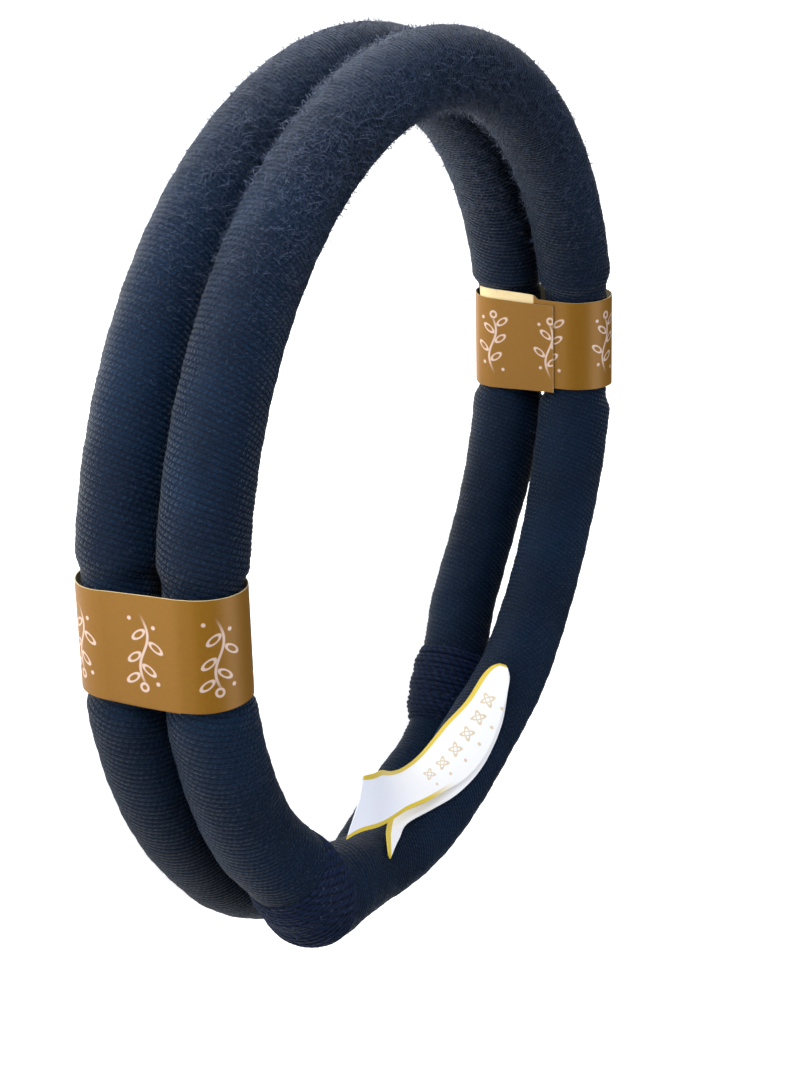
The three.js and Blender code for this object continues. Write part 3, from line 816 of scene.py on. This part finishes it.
def curved_hair(tree, length, thickness):
    """One hair as a narrow blade that rises and bends over."""
    bend = node(tree, MATH, (length, 0.7), operation="MULTIPLY")
    over = node(tree, MATH, (length, -0.55), operation="MULTIPLY")
    high = node(tree, MATH, (length, 0.9), operation="MULTIPLY")
    strand = node(tree, "GeometryNodeCurveQuadraticBezier", {
        "Resolution": 2,
        "Start": (0.0, 0.0, -0.0001),
        "Middle": node(tree, "ShaderNodeCombineXYZ", {2: bend}),
        "End": node(tree, "ShaderNodeCombineXYZ", {1: over, 2: high}),
    })
    ends = [node(tree, MATH, (thickness, side), operation="MULTIPLY") for side in (-0.5, 0.5)]
    profile = node(tree, "GeometryNodeCurvePrimitiveLine", {
        "Start": node(tree, "ShaderNodeCombineXYZ", (ends[0],)),
        "End": node(tree, "ShaderNodeCombineXYZ", (ends[1],)),
    })
    return node(tree, "GeometryNodeCurveToMesh", {"Curve": strand, "Profile Curve": profile})


def fuzz_tree(hair):
    """Curved hairs strewn over a mesh, as many and as long as its fuzz attribute says."""
    tree = bpy.data.node_groups.new("wool fuzz", "GeometryNodeTree")
    tree.interface.new_socket("Geometry", in_out="INPUT", socket_type="NodeSocketGeometry")
    for name, kind, value in FUZZ_INPUTS:
        tree.interface.new_socket(name, in_out="INPUT", socket_type=kind).default_value = value
    tree.interface.new_socket("Geometry", in_out="OUTPUT", socket_type="NodeSocketGeometry")
    given = node(tree, "NodeGroupInput").outputs
    cover = node(tree, "GeometryNodeInputNamedAttribute", {"Name": "fuzz"}, data_type="FLOAT")
    density = node(tree, MATH, (given["Hairs per square metre"], cover), operation="MULTIPLY")
    spread = node(
        tree, "GeometryNodeDistributePointsOnFaces",
        {"Mesh": given["Geometry"], "Density": density, "Seed": given["Seed"]},
        distribute_method="RANDOM",
    )
    turn = node(tree, "FunctionNodeRandomValue", {
        "Min": node(tree, "ShaderNodeCombineXYZ", (given["Least lean"],)),
        "Max": node(tree, "ShaderNodeCombineXYZ", {0: given["Most lean"], 2: 2 * math.pi}),
        "Seed": given["Seed"],
    }, data_type="FLOAT_VECTOR")
    turned = node(
        tree, "FunctionNodeRotateRotation",
        {"Rotation": spread.outputs["Rotation"], "Rotate By": turn},
        rotation_space="LOCAL",
    )
    drawn = {"Min": 0.35, "Max": 1.5, "Seed": given["Seed"]}
    drawn = node(tree, "FunctionNodeRandomValue", drawn, data_type="FLOAT")
    longer = node(tree, RANGE, (cover, 0.2, 0.9, 0.6, 1.8), **SOFT)
    placed = node(tree, "GeometryNodeInstanceOnPoints", {
        "Points": spread.outputs["Points"],
        "Instance": curved_hair(tree, given["Hair length"], given["Hair thickness"]),
        "Rotation": turned,
        "Scale": node(tree, MATH, (drawn, longer), operation="MULTIPLY"),
    })
    real = node(tree, "GeometryNodeRealizeInstances", (placed,))
    painted = node(tree, "GeometryNodeSetMaterial", {"Geometry": real, "Material": hair})
    node(tree, "NodeGroupOutput", (painted,))
    return tree


def fuzz_on(name, cord, tree, **values):
    """The hairs on one cord as a plain mesh of their own."""
    holder = bpy.data.objects.new(name, cord.data.copy())
    bpy.context.scene.collection.objects.link(holder)
    modifier = holder.modifiers.new("fuzz", "NODES")
    modifier.node_group = tree
    sockets = {item.name: item.identifier for item in tree.interface.items_tree if item.in_out == "INPUT"}
    for key, value in values.items():
        modifier[sockets[key.replace("_", " ")]] = value
    graph = bpy.context.evaluated_depsgraph_get()
    mesh = bpy.data.meshes.new_from_object(holder.evaluated_get(graph))
    holder.modifiers.remove(modifier)
    holder.data = mesh
    mesh.name = name
    points = np.empty(len(mesh.vertices) * 3, dtype=np.float32)
    mesh.vertices.foreach_get("co", points)
    points = points.reshape(-1, 3)
    points[:, 2] = np.maximum(points[:, 2], HAIR_OFF_FLOOR)
    mesh.vertices.foreach_set("co", points.ravel())
    mesh.update()
    return holder


# ---- the head cord ----
def build_head_cord():
    core, thick, wool = paper_core(), binding_wool(), wound_wool()
    lower = wound_cord("lower_cord", lower_middle, LOWER_GIRTH, lower_fuzz_cover, wool)
    upper = wound_cord("upper_cord", upper_middle, UPPER_GIRTH, upper_fuzz_cover, wool)
    lower_wrap = wrapped_yarn(
        "lower_wrap", lower_middle, LOWER_GIRTH, LOWER_BINDING,
        yarn=0.66, stand=2.3, turns=16, material=thick, seed=3,
    )
    upper_wrap = wrapped_yarn(
        "upper_wrap", upper_middle, UPPER_GIRTH, UPPER_BINDING,
        yarn=0.6, stand=1.6, turns=17, material=thick, seed=5,
    )
    near_look = gold_paper("gold paper of the near band", NEAR_BAND["first"], NO_TAB)
    far_look = gold_paper("gold paper of the far band", FAR_BAND["first"], TAB_LENGTH)
    near = paper_band("near_band", NEAR_BAND, [near_look, core])
    far = paper_band("far_band", FAR_BAND, [far_look, core])
    ribbon, ribbon_length = label_ribbon(
        "label_ribbon", [label_satin("printed satin", 0.62), label_satin("satin back", 0.0)]
    )
    tree = fuzz_tree(wool_hair())
    fuzz = [
        fuzz_on("lower_fuzz", lower, tree, Seed=11),
        fuzz_on("upper_fuzz", upper, tree, Seed=23),
        fuzz_on("lower_wrap_fuzz", lower_wrap, tree, **WRAP_FUZZ, Seed=31),
        fuzz_on("upper_wrap_fuzz", upper_wrap, tree, **WRAP_FUZZ, Seed=37),
    ]
    stands_for = (
        (lower, "lower_coil", "wound_wool"),
        (upper, "upper_coil", "wound_wool"),
        (lower_wrap, "lower_binding", "binding_yarn"),
        (upper_wrap, "upper_binding", "binding_yarn"),
        (near, "near_paper_band", "band_paper"),
        (far, "far_paper_band", "band_paper"),
        (ribbon, "satin_label", "label_satin"),
    )
    for obj, node_name, slot_name in stands_for:
        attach(obj, "root")
        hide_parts(node_name)
    for obj, slot_name in zip(fuzz, ("wound_wool", "wound_wool", "binding_yarn", "binding_yarn")):
        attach(obj, "root")


# ---- studio ----
LIGHTS_AIM = (0.0, 0.0, 0.02)


def lay_floor():
    mesh = bpy.data.meshes.new("floor")
    half = 4.0
    corners = [(-half, -half, 0), (half, -half, 0), (half, half, 0), (-half, half, 0)]
    mesh.from_pydata(corners, [], [(0, 1, 2, 3)])
    mesh.materials.append(pale_floor())
    floor = bpy.data.objects.new("floor", mesh)
    bpy.context.scene.collection.objects.link(floor)


def area_light(name, place, size, watts, tint):
    data = bpy.data.lights.new(name, "AREA")
    data.shape = "DISK"
    data.size = size
    data.energy = watts
    data.color = colour(tint)[:3]
    light = bpy.data.objects.new(name, data)
    light.location = place
    light.rotation_mode = "QUATERNION"
    light.rotation_quaternion = (Vector(LIGHTS_AIM) - Vector(place)).to_track_quat("-Z", "Y")
    bpy.context.scene.collection.objects.link(light)


def set_lights():
    area_light("key", (0.45, -1.0, 0.45), 0.7, 5.0, "dbe6ff")
    area_light("low side", (0.95, -0.9, 0.08), 0.3, 8.0, "f4f6ff")
    area_light("overhead", (-0.1, 0.15, 1.1), 0.9, 10.0, "f4f6ff")
    area_light("front fill", (0.8, -0.6, 0.6), 0.4, 1.3, "f6f8ff")
    world = bpy.data.worlds.new("studio")
    world.use_nodes = True
    ground = world.node_tree.nodes["Background"]
    ground.inputs["Color"].default_value = colour("dfe8f4")
    ground.inputs["Strength"].default_value = 0.08
    bpy.context.scene.world = world


CAMERA_PLACE = (0.54921, -0.18775, 0.29173)
CAMERA_RIGHT = (-0.43299, 0.01222, 0.90132)
CAMERA_UP = (-0.28555, -0.95027, -0.12429)
CAMERA_BACK = (0.85498, -0.31119, 0.41495)


def set_camera():
    data = bpy.data.cameras.new("camera")
    data.lens = 85.594
    data.sensor_width = 36.0
    data.clip_start, data.clip_end = 0.01, 20.0
    camera = bpy.data.objects.new("camera", data)
    axes = Matrix([CAMERA_RIGHT, CAMERA_UP, CAMERA_BACK]).transposed()
    camera.matrix_world = Matrix.Translation(CAMERA_PLACE) @ axes.to_4x4()
    bpy.context.scene.collection.objects.link(camera)
    bpy.context.scene.camera = camera


def set_view():
    settings = bpy.context.scene.view_settings
    settings.view_transform = "Standard"
    settings.look = "None"
    settings.exposure = 0.0


build_head_cord()
lay_floor()
set_lights()
set_camera()
set_view()
